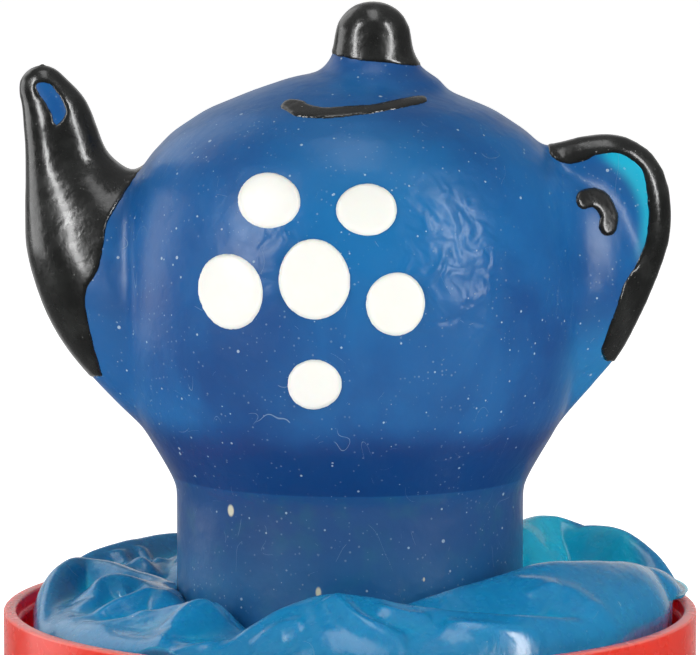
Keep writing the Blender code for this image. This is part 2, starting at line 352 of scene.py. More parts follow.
class Graph:
    """A material's nodes, built step by step over positions in millimetres."""

    def __init__(self, name: str) -> None:
        """Start a material that has only its Principled shader."""
        self.material = bpy.data.materials.new(name)
        self.material.use_nodes = True
        self.tree = self.material.node_tree
        self.shader = self.tree.nodes["Principled BSDF"]
        self.place = self.scaled(self.add("ShaderNodeTexCoord").outputs["Object"], (1 / MM,) * 3)

    def add(self, kind: str, **settings: object) -> bpy.types.Node:
        """Add a node and set its properties."""
        node = self.tree.nodes.new(kind)
        for key, value in settings.items():
            setattr(node, key, value)
        return node

    def feed(self, target: Socket, value: object) -> None:
        """Link a socket to another, or set its value."""
        if isinstance(value, Socket):
            self.tree.links.new(value, target)
        elif isinstance(value, tuple) and target.type == "RGBA":
            target.default_value = (*value, 1.0)
        else:
            target.default_value = value

    def scaled(self, place: Socket, scale: Point3) -> Socket:
        """Positions stretched by a factor along each axis."""
        node = self.add("ShaderNodeVectorMath", operation="MULTIPLY")
        self.feed(node.inputs[0], place)
        node.inputs[1].default_value = scale
        return node.outputs[0]

    def noise(self, scale: float, detail: float = 2.0, distortion: float = 0.0,
              place: Socket | None = None) -> Socket:
        """Soft noise from 0 to 1 with about `scale` lumps a millimetre."""
        node = self.add("ShaderNodeTexNoise")
        self.feed(node.inputs["Vector"], place or self.place)
        node.inputs["Scale"].default_value = scale
        node.inputs["Detail"].default_value = detail
        node.inputs["Distortion"].default_value = distortion
        return node.outputs["Fac"]

    def ramp(self, value: Socket, low: float, high: float) -> Socket:
        """A smooth step: 0 at low, 1 at high, which may be the smaller."""
        node = self.add("ShaderNodeMapRange", interpolation_type="SMOOTHSTEP")
        self.feed(node.inputs["Value"], value)
        node.inputs["From Min"].default_value = min(low, high)
        node.inputs["From Max"].default_value = max(low, high)
        node.inputs["To Min"].default_value = 0.0 if low < high else 1.0
        node.inputs["To Max"].default_value = 1.0 if low < high else 0.0
        return node.outputs["Result"]

    def span(self, value: Socket, low: float, high: float) -> Socket:
        """A value from 0 to 1 drawn out between two others."""
        node = self.add("ShaderNodeMapRange")
        self.feed(node.inputs["Value"], value)
        node.inputs["To Min"].default_value = low
        node.inputs["To Max"].default_value = high
        return node.outputs["Result"]

    def maths(self, operation: str, first: object, second: object = 0.0) -> Socket:
        """One step of arithmetic."""
        node = self.add("ShaderNodeMath", operation=operation)
        self.feed(node.inputs[0], first)
        self.feed(node.inputs[1], second)
        return node.outputs[0]

    def times(self, first: object, *others: object) -> Socket:
        """The product of several values."""
        for other in others:
            first = self.maths("MULTIPLY", first, other)
        return first

    def most(self, first: object, *others: object) -> Socket:
        """The largest of several values."""
        for other in others:
            first = self.maths("MAXIMUM", first, other)
        return first

    def mix(self, factor: object, first: object, second: object) -> Socket:
        """Two colours blended by a factor."""
        node = self.add("ShaderNodeMix", data_type="RGBA")
        self.feed(node.inputs[0], factor)
        self.feed(node.inputs[6], first)
        self.feed(node.inputs[7], second)
        return node.outputs[2]

    def lay(self, under: object, mask: Socket, top: Colour, share: float) -> Socket:
        """A colour with another laid over it through a mask, up to a share."""
        return self.mix(self.times(mask, share), under, top)

    def axis(self, name: str) -> Socket:
        """The X, Y or Z of a position, in millimetres."""
        node = self.add("ShaderNodeSeparateXYZ")
        self.feed(node.inputs[0], self.place)
        return node.outputs[name]

    def far(self, centre: Point3, stretch: Point3 = (1.0, 1.0, 1.0)) -> Socket:
        """The distance from a point, in millimetres, with each axis stretched by a factor."""
        node = self.add("ShaderNodeVectorMath", operation="DISTANCE")
        self.feed(node.inputs[0], self.scaled(self.place, stretch))
        node.inputs[1].default_value = tuple(c * s for c, s in zip(centre, stretch))
        return node.outputs["Value"]

    def near(self, centre: Point3, inner: float, outer: float, stretch: Point3 = (1.0, 1.0, 1.0)) -> Socket:
        """A patch that is 1 inside one distance from a point and 0 outside another."""
        return self.ramp(self.far(centre, stretch), outer, inner)

    def specks(self, scale: float, size: float, share: float) -> Socket:
        """Scattered round specks.

        Args:
            scale: cells a millimetre, each with at most one speck.
            size: the largest speck's radius as a share of a cell.
            share: the share of the cells that hold one.

        Returns:
            A mask.
        """
        node = self.add("ShaderNodeTexVoronoi")
        self.feed(node.inputs["Vector"], self.place)
        node.inputs["Scale"].default_value = scale
        chance = self.add("ShaderNodeSeparateColor")
        self.feed(chance.inputs[0], node.outputs["Color"])
        radius = self.times(self.ramp(chance.outputs[0], 1.0 - share, 1.0), size)
        return self.ramp(self.maths("SUBTRACT", radius, node.outputs["Distance"]), 0.0, 0.3 * size)

    def lint(self, scale: float, width: float, share: float,
             place: Socket | None = None) -> Socket:
        """Short curved hairs or scratches, where a slow noise crosses its middle.

        Args:
            scale: how many bends a millimetre has.
            width: the hairs' width as a share of a bend.
            share: the share of the surface that has them.
            place: other positions to draw them over.

        Returns:
            A mask.
        """
        offset = self.maths("ABSOLUTE", self.maths("SUBTRACT", self.noise(scale, 0.0, 0.6, place), 0.5))
        line = self.ramp(offset, width, 0.3 * width)
        return self.times(line, self.ramp(self.noise(scale * 1.7, 1.0), 1.0 - share, 1.02 - share))

    def bump(self, height: Socket, depth: float, strength: float = 1.0,
             normal: Socket | None = None) -> Socket:
        """Relief of a depth in millimetres, over another relief if one is given."""
        node = self.add("ShaderNodeBump")
        node.inputs["Strength"].default_value = strength
        node.inputs["Distance"].default_value = depth * MM
        self.feed(node.inputs["Height"], height)
        if normal is not None:
            self.feed(node.inputs["Normal"], normal)
        return node.outputs[0]

    def finish(self, colour: object, roughness: object, normal: Socket | None = None,
               **fixed: float) -> Material:
        """Feed the shader and return the material.

        Args:
            colour: a socket or a fixed colour.
            roughness: a socket or a fixed number.
            normal: the relief.
            fixed: other inputs by name, with _ for a space.

        Returns:
            The material.
        """
        self.feed(self.shader.inputs["Base Color"], colour)
        self.feed(self.shader.inputs["Roughness"], roughness)
        if normal is not None:
            self.feed(self.shader.inputs["Normal"], normal)
        for key, value in fixed.items():
            self.shader.inputs[key.replace("_", " ")].default_value = value
        return self.material


@dataclass(frozen=True)
class RedPlastic:
    """Glossy moulded polystyrene: orange red outside, a brighter crimson painted inside for light coming
    through the wall, and a paler painted highlight on its thin rim.
    """

    outside: Colour = (0.66, 0.045, 0.027)
    mottle: Colour = (0.58, 0.034, 0.024)
    # painted light: the inside's brighter crimson stands in for light coming through the thin wall
    inside: Colour = (0.92, 0.050, 0.085)
    # painted highlight: a paler red along the rim's top for light through its thin edge
    rim: Colour = (0.84, 0.22, 0.20)
    dust: Colour = (0.85, 0.50, 0.46)
    roughness: float = 0.24
    inner_radius: float = 31.9
    inner_fade: float = 0.1
    rim_height: float = 33.72
    rim_fade: float = 0.16

    def material(self) -> Material:
        """Build the nodes."""
        graph = Graph("red_plastic")
        wall = graph.mix(graph.span(graph.noise(0.12, 3.0), 0.0, 0.5), self.outside, self.mottle)
        # within the inner radius the wall takes the inside colour with its painted light
        outer = graph.ramp(graph.far((0.0, 0.0, 0.0), (1.0, 1.0, 0.0)),
                           self.inner_radius - self.inner_fade, self.inner_radius + self.inner_fade)
        colour = graph.mix(outer, self.inside, wall)
        # painted highlight laid along the rim's top, up to 0.75
        edge = graph.ramp(graph.axis("Z"), self.rim_height, self.rim_height + self.rim_fade)
        colour = graph.lay(colour, edge, self.rim, 0.75)
        dust = graph.specks(1.1, 0.14, 0.25)
        colour = graph.lay(colour, dust, self.dust, 0.25)
        scratches = graph.lint(0.10, 0.0016, 0.45, graph.scaled(graph.place, (1.0, 1.0, 3.0)))
        rough = graph.span(graph.noise(0.5, 4.0), self.roughness - 0.06, self.roughness + 0.10)
        rough = graph.maths("ADD", rough, graph.times(scratches, 0.15))
        streaks = graph.noise(0.35, 2.0, 0.0, graph.scaled(graph.place, (1.0, 1.0, 0.25)))
        flow = graph.bump(streaks, 0.03, 0.5)
        relief = graph.bump(graph.maths("SUBTRACT", dust, scratches), 0.012, 0.5, flow)
        return graph.finish(colour, rough, relief, Subsurface_Weight=0.80, Subsurface_Scale=3.0 * MM,
                            Specular_IOR_Level=0.38, Coat_Weight=0.12, Coat_Roughness=0.12)


@dataclass(frozen=True)
class ThickLatex:
    """Thick dipped latex: dark blue, with a painted glow where light comes through thin parts, painted
    light in the middle of its front and painted shade under the flare; dusty, scratched and faintly
    pebbled.
    """

    deep: Colour = (0.003, 0.056, 0.215)
    bright: Colour = (0.005, 0.118, 0.340)
    # painted glow where light comes through the handle's edge and its foot
    glow: Colour = (0.003, 0.38, 0.55)
    glow_foot: Colour = (0.006, 0.21, 0.47)
    # painted light: the lit middle of the bulb's front
    centre: Colour = (0.005, 0.155, 0.385)
    # painted shade under the flare, above the crease
    painted_shade_band: Colour = (0.002, 0.033, 0.155)
    neck: Colour = (0.010, 0.064, 0.205)
    grime: Colour = (0.012, 0.12, 0.20)
    # lighter, more cyan colour towards the neck's foot
    neck_foot_tint: Colour = (0.024, 0.190, 0.400)
    dust: Colour = (0.42, 0.55, 0.66)
    flake: Colour = (0.62, 0.60, 0.45)
    flakes: tuple[tuple[Point3, float], ...] = (
        ((-11.0, -12.2, 44.9), 0.55), ((-2.9, -16.5, 37.9), 0.50), ((6.8, -15.2, 38.9), 0.22),
    )
    crease_height: float = 46.8
    crease_fade: float = 0.12
    roughness: float = 0.32

    def bulb(self, graph: Graph) -> Socket:
        """The mottled bulb, with painted light in the middle of its front, and a painted glow along the
        handle's edge and at its foot where light comes through.
        """
        clouds = graph.ramp(graph.noise(0.075, 5.0, 0.4), 0.25, 0.75)
        colour = graph.mix(clouds, self.deep, self.bright)
        # painted light: the middle of the bulb's front lightened as if lit there
        colour = graph.lay(colour, graph.near((2.0, -19.0, 73.0), 2.0, 14.0), self.centre, 0.75)
        # painted glow: light coming through the thin latex along the handle's edge
        rim = graph.ramp(graph.far((20.6, 0.0, 70.6), (1.0, 0.0, 1.0)), 6.2, 7.5)
        upper = graph.ramp(graph.axis("Z"), 66.5, 70.5)
        outer = graph.ramp(graph.axis("X"), 22.5, 25.0)
        colour = graph.mix(graph.times(rim, upper, outer), colour, self.glow)
        # painted glow at the handle's foot, for light coming through it
        foot = graph.near((23.0, 0.0, 57.0), 1.0, 7.5, (1.0, 0.4, 1.0))
        return graph.lay(colour, foot, self.glow_foot, 0.7)

    def lower(self, graph: Graph, colour: Socket) -> Socket:
        """The painted shade under the flare above the crease, and the dull neck below it, lighter and more
        cyan towards its foot.
        """
        height = graph.axis("Z")
        low, high = self.crease_height - self.crease_fade, self.crease_height + self.crease_fade
        wavy = graph.maths("ADD", height, graph.span(graph.noise(0.15, 2.0), -1.2, 1.2))
        # painted shade: a dark belt under the flare, from the crease up to a wavy upper edge
        painted_shade_band = graph.times(graph.ramp(height, low, high), graph.ramp(wavy, 54.0, 50.6))
        colour = graph.lay(colour, painted_shade_band, self.painted_shade_band, 0.85)
        below = graph.ramp(height, high, low)
        colour = graph.lay(colour, below, self.neck, 0.85)
        grime = graph.times(graph.ramp(graph.noise(0.35, 5.0), 0.48, 0.72), below)
        colour = graph.lay(colour, grime, self.grime, 0.35)
        # lighter, more cyan towards the neck's foot, patchy by noise
        neck_foot_tint = graph.times(graph.ramp(height, 44.0, 37.0), graph.span(graph.noise(0.25, 4.0), 0.2, 1.0))
        return graph.lay(colour, neck_foot_tint, self.neck_foot_tint, 0.70)

    def marks(self, graph: Graph) -> Socket:
        """Dust, fine dust in patches, hairs and scratches, as one mask."""
        dust = graph.most(graph.specks(1.3, 0.17, 0.35), graph.specks(0.7, 0.14, 0.30))
        patches = graph.ramp(graph.noise(0.2, 2.0), 0.34, 0.60)
        fine = graph.times(graph.specks(2.4, 0.30, 0.55), patches, 0.34)
        scores = graph.lint(0.10, 0.0014, 0.40, graph.scaled(graph.place, (2.4, 2.4, 0.9)))
        lines = graph.most(graph.lint(0.30, 0.0022, 0.34), graph.lint(0.16, 0.0014, 0.36), scores)
        return graph.most(dust, fine, graph.times(lines, 0.55))

    def relief(self, graph: Graph, marks: Socket) -> Socket:
        """Slow waves, two pebbled patches, a fine grain and the raised marks."""
        right = graph.near((10.0, -19.5, 68.5), 2.0, 8.0, (1.0, 1.0, 0.7))
        left = graph.near((-6.0, -21.0, 69.5), 1.0, 5.0, (1.0, 1.0, 0.8))
        pebbled = graph.span(graph.most(right, graph.times(left, 0.6)), 0.10, 1.0)
        relief = graph.bump(graph.noise(0.22, 2.0), 0.16, 0.6)
        relief = graph.bump(graph.times(graph.noise(0.42, 1.6, 0.5), pebbled), 0.80, 0.80, relief)
        relief = graph.bump(graph.noise(1.6, 3.0), 0.05, 0.35, relief)
        return graph.bump(marks, 0.03, 0.6, relief)

    def material(self) -> Material:
        """Build the nodes."""
        graph = Graph("thick_latex")
        marks = self.marks(graph)
        colour = graph.lay(self.lower(graph, self.bulb(graph)), marks, self.dust, 0.62)
        for place, size in self.flakes:
            chip = graph.near(place, 0.55 * size, size, (1.5, 0.5, 0.8))
            colour = graph.mix(chip, colour, self.flake)
        rough = graph.span(graph.noise(0.8, 5.0), self.roughness - 0.07, self.roughness + 0.12)
        rough = graph.maths("ADD", rough, graph.times(marks, 0.3))
        return graph.finish(colour, rough, self.relief(graph, marks), Subsurface_Weight=0.12,
                            Subsurface_Scale=1.0 * MM, Specular_IOR_Level=0.45, Coat_Weight=0.08,
                            Coat_Roughness=0.22)


@dataclass(frozen=True)
class ThinLatex:
    """Thin dipped latex: glossy cyan blue, with a painted glow of light through its hollows and painted
    shade in its deepest folds.
    """

    ridge: Colour = (0.005, 0.205, 0.460)
    sheet: Colour = (0.005, 0.265, 0.540)
    # painted glow: light coming through the thin sheet in its hollows
    hollow: Colour = (0.002, 0.540, 0.840)
    # painted shade in the deepest folds
    dark: Colour = (0.002, 0.200, 0.420)
    grain: Colour = (0.06, 0.42, 0.66)
    dust: Colour = (0.50, 0.66, 0.75)
    scatter: Colour = (0.35, 1.0, 1.2)
    roughness: float = 0.24

    def material(self) -> Material:
        """Build the nodes."""
        graph = Graph("thin_latex")
        graph.shader.inputs["Subsurface Radius"].default_value = self.scatter
        depth = graph.add("ShaderNodeAttribute", attribute_name=DEPTH).outputs["Fac"]
        colour = graph.mix(graph.span(graph.noise(0.16, 4.0, 0.5), 0.0, 1.0), self.ridge, self.sheet)
        # painted glow in the hollows, by the sleeve's depth below its ridges
        colour = graph.mix(graph.ramp(depth, 0.50, 0.85), colour, self.hollow)
        # painted shade laid over the deepest folds, up to a half
        colour = graph.lay(colour, graph.ramp(depth, 0.80, 1.0), self.dark, 0.5)
        colour = graph.lay(colour, graph.ramp(graph.noise(2.4, 4.0), 0.42, 0.70), self.grain, 0.10)
        dust = graph.most(graph.specks(1.3, 0.13, 0.25), graph.lint(0.22, 0.0018, 0.36))
        colour = graph.lay(colour, dust, self.dust, 0.55)
        rough = graph.span(graph.noise(0.9, 4.0), self.roughness - 0.08, self.roughness + 0.12)
        rough = graph.maths("ADD", rough, graph.times(dust, 0.3))
        creases = graph.noise(0.55, 3.0, 1.2, graph.scaled(graph.place, (1.0, 1.0, 0.6)))
        relief = graph.bump(graph.noise(3.0, 3.0), 0.015, 0.5, graph.bump(creases, 0.14, 0.5))
        return graph.finish(colour, rough, relief, Subsurface_Weight=0.55, Subsurface_Scale=1.3 * MM,
                            Specular_IOR_Level=0.50, Coat_Weight=0.60, Coat_Roughness=0.10)


@dataclass(frozen=True)
class BlackPaint:
    """Black latex paint: satin, mottled where it shines and dusty grey."""

    colour: Colour = (0.004, 0.0045, 0.004)
    worn: Colour = (0.024, 0.026, 0.024)
    dust: Colour = (0.30, 0.30, 0.29)
    roughness: float = 0.21

    def material(self) -> Material:
        """Build the nodes."""
        graph = Graph("black_paint")
        colour = graph.lay(self.colour, graph.ramp(graph.noise(0.45, 5.0), 0.45, 0.80), self.worn, 0.45)
        dust = graph.most(graph.specks(1.6, 0.14, 0.25), graph.specks(3.5, 0.18, 0.20))
        colour = graph.lay(colour, dust, self.dust, 0.5)
        rough = graph.span(graph.noise(0.7, 5.0), self.roughness - 0.12, self.roughness + 0.22)
        relief = graph.bump(dust, 0.02, 0.5, graph.bump(graph.noise(1.4, 4.0), 0.07, 0.7))
        return graph.finish(colour, rough, relief, Specular_IOR_Level=0.70, Coat_Weight=0.50,
                            Coat_Roughness=0.14)


@dataclass(frozen=True)
class WhitePaint:
    """Thick creamy white latex paint, smooth and faintly glossy."""

    colour: Colour = (0.80, 0.80, 0.76)
    shade: Colour = (0.72, 0.72, 0.66)
    dust: Colour = (0.35, 0.36, 0.36)
    roughness: float = 0.38

    def material(self) -> Material:
        """Build the nodes."""
        graph = Graph("white_paint")
        colour = graph.mix(graph.span(graph.noise(0.35, 3.0), 0.0, 0.6), self.colour, self.shade)
        colour = graph.lay(colour, graph.specks(1.4, 0.05, 0.06), self.dust, 0.5)
        rough = graph.span(graph.noise(1.0, 3.0), self.roughness - 0.06, self.roughness + 0.08)
        relief = graph.bump(graph.noise(0.6, 3.0), 0.03, 0.5)
        return graph.finish(colour, rough, relief, Subsurface_Weight=0.2, Subsurface_Scale=0.5 * MM,
                            Coat_Weight=0.15, Coat_Roughness=0.2)


# --- The tub ---


@dataclass
class Tub:
    """The round plastic tub with a thin square rim, a shallow step inside its mouth and a rounded foot."""

    radius: float = 33.0
    height: float = 34.0
    wall: float = 1.6
    floor: float = 1.6
    floor_round: float = 1.0
    step: float = 0.4
    step_depth: float = 1.4
    step_round: float = 0.1
    rim_round: float = 0.25
    foot_round: float = 1.5
    groove: float = 0.6
    groove_inset: float = 3.4
    sides: int = 192

    def outline(self) -> list[Point2]:
        """The tub's section, from the inside floor's middle over the rim to the underside's middle."""
        inner = self.radius - self.wall
        mouth = inner + self.step
        ledge = self.height - self.step_depth
        bend, ease, rim, foot = self.floor_round, self.step_round, self.rim_round, self.foot_round
        return [
            (0.0, self.floor), (0.6 * inner, self.floor),
            *self.arc((inner - bend, self.floor + bend), bend, -90.0, 0.0, 5),
            (inner, 0.5 * self.height), (inner, ledge - 1.5 * ease), (inner + ease, ledge),
            (mouth - ease, ledge + 0.5 * ease), (mouth, ledge + 1.5 * ease),
            *self.arc((mouth + rim, self.height - rim), rim, 180.0, 90.0, 4),
            *self.arc((self.radius - rim, self.height - rim), rim, 90.0, 0.0, 4),
            (self.radius, 0.5 * self.height),
            *self.arc((self.radius - foot, foot), foot, 0.0, -90.0, 8),
            *self.arc((self.radius - self.groove_inset, 0.0), self.groove, 0.0, 180.0, 6),
            (0.0, 0.0),
        ]

    @staticmethod
    def arc(centre: Point2, radius: float, start: float, end: float, steps: int) -> list[Point2]:
        """Points of a round corner, from one angle in degrees to another."""
        turns = np.radians(np.linspace(start, end, steps))
        return [(centre[0] + radius * cos(turn), centre[1] + radius * sin(turn)) for turn in turns]

    def build(self, plastic: Material) -> bpy.types.Object:
        """Make the tub and put it in place of its CAD node."""
        tub = link("red_tub", turned("red_tub", self.outline(), self.sides))
        placed(dressed(tub, plastic, 30.0), Body.TUB, "red_plastic", "tub")
        return tub


# --- The gathered sleeve ---


@dataclass(frozen=True)
class Fold:
    """One ridge of the gathered sleeve: a line along its crest, falling away on both sides.

    Attributes:
        line: x, y and z along the crest, in millimetres.
        crest: how broad and round the crest is, in millimetres.
        left: how steeply it falls to the left of the line's direction.
        right: how steeply it falls to the right.
        right_end: the same at the line's end, where that differs.
    """

    line: tuple[Point3, ...]
    crest: float
    left: float
    right: float
    right_end: float | None = None

    def heights(self, x: np.ndarray, y: np.ndarray) -> np.ndarray:
        """How high the fold stands over points.

        Args:
            x: the points' x, in millimetres.
            y: the points' y.

        Returns:
            The heights, in millimetres.
        """
        knots = smooth_line(self.line, spans=5)
        away, place, side = nearest(knots[:, :2], x, y)
        top = np.interp(place, np.arange(len(knots)), knots[:, 2])
        right_end = self.right if self.right_end is None else self.right_end
        right = self.right + (right_end - self.right) * place / (len(knots) - 1)
        slope = right + (self.left - right) * rising(side, -0.3, 0.6)
        return top - slope * (np.sqrt(away + self.crest ** 2) - self.crest)


@dataclass(frozen=True)
class Ripple:
    """A fine ridge that runs over the folds.

    Attributes:
        line: x and y along it, in millimetres.
        rise: how far it stands up.
        width: how broad it is.
    """

    line: tuple[Point2, ...]
    rise: float
    width: float

    def heights(self, x: np.ndarray, y: np.ndarray) -> np.ndarray:
        """How much the ripple adds over points, in millimetres."""
        knots = smooth_line(self.line, spans=5)
        away, place, _ = nearest(knots, x, y)
        ends = np.sin(pi * np.clip(place / (len(knots) - 1), 0.0, 1.0)) ** 0.5
        return self.rise * np.exp(-away / self.width ** 2) * ends


@dataclass
class Sleeve:
    """The figure's thin latex sleeve, pushed down into deep folds that fill the tub round the neck.

    Attributes:
        base: how high the lowest hollows lie, in millimetres like all the lengths.
        blend: how softly the ridges melt into each other.
        wall_roll: the radius, height, fall and breadth of the low roll along the tub's wall.
        roll: how far in from its edge the sheet turns down.
        overhang: how far its lobe reaches over the tub's rim, which way, and half its width in degrees.
        rim_height: the least height over the tub's rim.
        under_rim: the radius inside which the sheet may go lower than that.
        skirt_gap: how far the skirt keeps inside that radius.
        gather: how deep the skirt's pleats are.
        neck_side: where the stretched pocket at the neck's right starts, which is given a painted glow.
        fold_depth: how deep a fold is that counts as fully deep.
        softenings: how many rounds of levelling the depths are measured from.
    """

    flat_width: float = 104.0
    flat_length: float = 120.0
    thickness: float = 0.35
    inner: float = 16.75
    outer: float = 30.75
    bottom: float = 6.0
    base: float = 33.4
    blend: float = 0.28
    wall_roll: tuple[float, float, float, float] = (27.5, 34.4, 0.35, 2.5)
    roll: float = 3.6
    overhang: Point3 = (2.7, 17.0, 18.0)
    rim_height: float = 34.75
    under_rim: float = 31.0
    skirt_gap: float = 0.25
    gather: float = 0.55
    neck_side: float = 12.0
    fold_depth: float = 2.6
    softenings: int = 60
    skirt_shade: float = 0.45
    inside_shade: float = 0.5
    bead_radius: float = 28.6
    bead_half: float = 1.2
    bead_height: float = 3.3
    turns: int = 600
    rings: int = 72
    folds: tuple[Fold, ...] = (
        Fold(((-15.5, -27, 33.3), (-12, -25.2, 34.2), (-8.5, -23.4, 36.25), (-5.5, -22.4, 37.75),
              (-2, -22.2, 38.7), (2, -22.4, 38.45), (6, -22.2, 37.65), (10.5, -22.6, 37.15),
              (15.5, -22.4, 36.9), (20, -20.6, 36.45), (24.5, -17, 35.8)), 1.0, 1.1, 0.60),
        Fold(((-12.6, -14.2, 36.6), (-13.4, -15.5, 36.95), (-15, -18, 36.2), (-16.6, -21, 35.1),
              (-17.8, -25, 33.8)), 0.5, 1.0, 0.5),
        Fold(((-24.5, -12.5, 34.3), (-22.5, -14, 34.9), (-19.8, -14.3, 35.4), (-17.8, -14.6, 35.8),
              (-14.6, -15, 36.4)), 0.4, 0.8, 0.45),
        Fold(((-25.5, -10, 34.3), (-23.6, -10, 35.1), (-21.5, -8.3, 36.0), (-18.9, -7, 36.6),
              (-17.4, -7.5, 36.7)), 0.5, 0.9, 0.6),
        Fold(((-24.6, -5, 35.4), (-23.6, -3, 36.6), (-21.8, -2, 37.1), (-19.2, -2.6, 36.7),
              (-17.2, -5, 36.4)), 1.0, 0.8, 0.5),
        Fold(((-29.3, -9, 34.6), (-29.9, -6, 35.3), (-29.6, -1, 36.3), (-28.6, 3, 37.2), (-27.1, 5.5, 37.6),
              (-25.5, 6.5, 37.4), (-23.3, 5, 37.3), (-21.2, 2.5, 37.0), (-19, 0.5, 36.7),
              (-17.4, -2, 36.5)), 1.1, 0.7, 1.25),
        Fold(((-28.5, 8, 36.2), (-26.5, 12, 37.0), (-22.9, 15.5, 37.6), (-20.3, 18.5, 37.7),
              (-17.5, 21, 37.6), (-12, 24, 37.2)), 0.7, 0.7, 0.95),
        Fold(((-23, 9.5, 36.2), (-19.5, 11.5, 36.0), (-17.2, 15, 36.2)), 0.6, 0.6, 0.6),
        Fold(((5, -18.4, 37.0), (8.5, -17.2, 38.0), (12, -15.2, 38.8), (14.8, -13, 39.25),
              (17.2, -11.3, 39.7), (20, -9.8, 39.75), (23.4, -7.2, 39.4), (26.6, -3.2, 38.55),
              (29.4, 1.6, 37.3), (31.5, 6.5, 36.1)), 1.1, 0.9, 0.46, 0.42),
        Fold(((15.6, -14.6, 38.9), (17.8, -14.4, 38.75), (20, -15, 38.2),
              (22, -16.8, 37.4)), 0.8, 0.5, 0.6),
        Fold(((17, 12, 39.6), (17.9, 15.5, 40.0), (20.5, 17.8, 39.8), (24, 16.4, 39.5), (27.2, 13.6, 39.1),
              (30, 11, 37.9), (32.2, 8.3, 36.4), (32.6, 6.5, 35.7)), 0.8, 0.8, 1.05),
        Fold(((-8, 18, 38.2), (-2, 24, 37.8), (6, 29, 36.8)), 1.0, 0.6, 0.6),
        Fold(((2, 17.5, 38.6), (8, 22, 38.3), (14, 26, 37.4)), 0.9, 0.6, 0.6),
        Fold(((-14, 12, 37.5), (-12, 20, 37.6), (-6, 28, 36.5)), 0.9, 0.6, 0.6),
    )
    ripples: tuple[Ripple, ...] = (
        Ripple(((-25.9, -6.8), (-24.6, -6.0), (-23.9, -5.1), (-24.0, -3.6), (-23.4, -2.6), (-21.6, -2.6),
                (-19.8, -3.4), (-17.8, -6.0)), 0.40, 0.7),
        Ripple(((-23.6, -10.5), (-21.9, -9.3), (-20.1, -8.2), (-18.6, -6.5)), 0.40, 0.6),
        Ripple(((-21.2, -12.0), (-19.5, -13.6), (-17.5, -13.8), (-14.8, -15.5)), 0.50, 0.6),
        Ripple(((-17.0, -19.5), (-15.9, -17.6), (-14.7, -16.0), (-13.5, -14.5)), 0.50, 0.8),
        Ripple(((-16.4, -24.5), (-13.9, -24.7), (-11.5, -23.4), (-9.8, -21.4)), 0.40, 0.6),
        Ripple(((-23.0, 14.0), (-21.0, 11.5), (-18.6, 8.5)), 0.80, 1.0),
        Ripple(((-20.8, 16.0), (-18.7, 12.5)), 0.60, 0.7),
        Ripple(((-1.4, -22.6), (-0.6, -24.6), (0.8, -26.2), (2.6, -27.0), (5.0, -27.4)), 0.80, 0.9),
        Ripple(((2.4, -24.2), (4.6, -24.4), (7.2, -24.0)), 0.55, 0.7),
        Ripple(((8.4, -24.6), (12.6, -25.2), (17.4, -24.2)), 0.55, 0.8),
        Ripple(((-8.8, -26.4), (-6.4, -25.4), (-4.2, -25.8)), 0.60, 0.9),
        Ripple(((16.2, -17.4), (19.2, -15.0)), 0.25, 0.6),
    )

    def outer_roll(self, radius: np.ndarray) -> np.ndarray:
        """The low roll that runs round next to the tub's wall."""
        middle, height, fall, breadth = self.wall_roll
        return height - fall * (np.hypot(radius - middle, breadth) - breadth)

    def edge_radius(self, turn: np.ndarray) -> np.ndarray:
        """How far out the sleeve reaches, in millimetres, with the lobe that hangs over the tub's rim."""
        reach, middle, spread = self.overhang
        lobe = np.clip(1.0 - (np.abs(np.degrees(turn) - middle) / spread) ** 2, 0.0, 1.0) ** 0.7
        ripple = 0.22 * np.sin(5 * turn + 0.8) + 0.16 * np.sin(9 * turn + 2.1) + 0.12 * np.sin(17 * turn)
        return self.outer + reach * lobe + (1.0 - lobe) * (ripple - 0.2)

    def relief(self, x: np.ndarray, y: np.ndarray) -> np.ndarray:
        """Height of the folds over points in millimetres, ridges melting softly into each other."""
        layers = [np.full(x.shape, self.base), self.outer_roll(np.hypot(x, y))]
        layers += [fold.heights(x, y) for fold in self.folds]
        stack = np.stack(layers) / self.blend
        top = stack.max(axis=0)
        surface = self.blend * (top + np.log(np.exp(stack - top).sum(axis=0)))
        return surface + sum(ripple.heights(x, y) for ripple in self.ripples)

    def crumple(self, points: np.ndarray, size: float, reach: float) -> np.ndarray:
        """Small soft unevenness at each point, of a size and a height in millimetres."""
        flat = points.reshape(-1, 3) / size
        values = np.array([noise.noise(Vector(point)) for point in flat.tolist()])
        return reach * values.reshape(points.shape[:-1])

    def heights(self, x: np.ndarray, y: np.ndarray, radius: np.ndarray, past: np.ndarray) -> np.ndarray:
        """How high the folded top lies, turned down at its edge and clear of the tub's rim.

        Args:
            x: the points' x, in millimetres.
            y: the points' y.
            radius: how far out they lie.
            past: how far they are into the turned-down edge, from 0 to 1.

        Returns:
            The heights, in millimetres.
        """
        height = self.relief(x, y)
        points = np.stack([x, y, height], axis=-1)
        height = height + self.crumple(points, 5.0, 0.12) + self.crumple(points, 1.7, 0.04)
        height = height - self.roll * (1.0 - np.sqrt(1.0 - 0.98 * past ** 2))
        over_rim = rising(radius, self.under_rim - 0.6, 0.6)
        return height + over_rim * np.maximum(self.rim_height - height, 0.0)

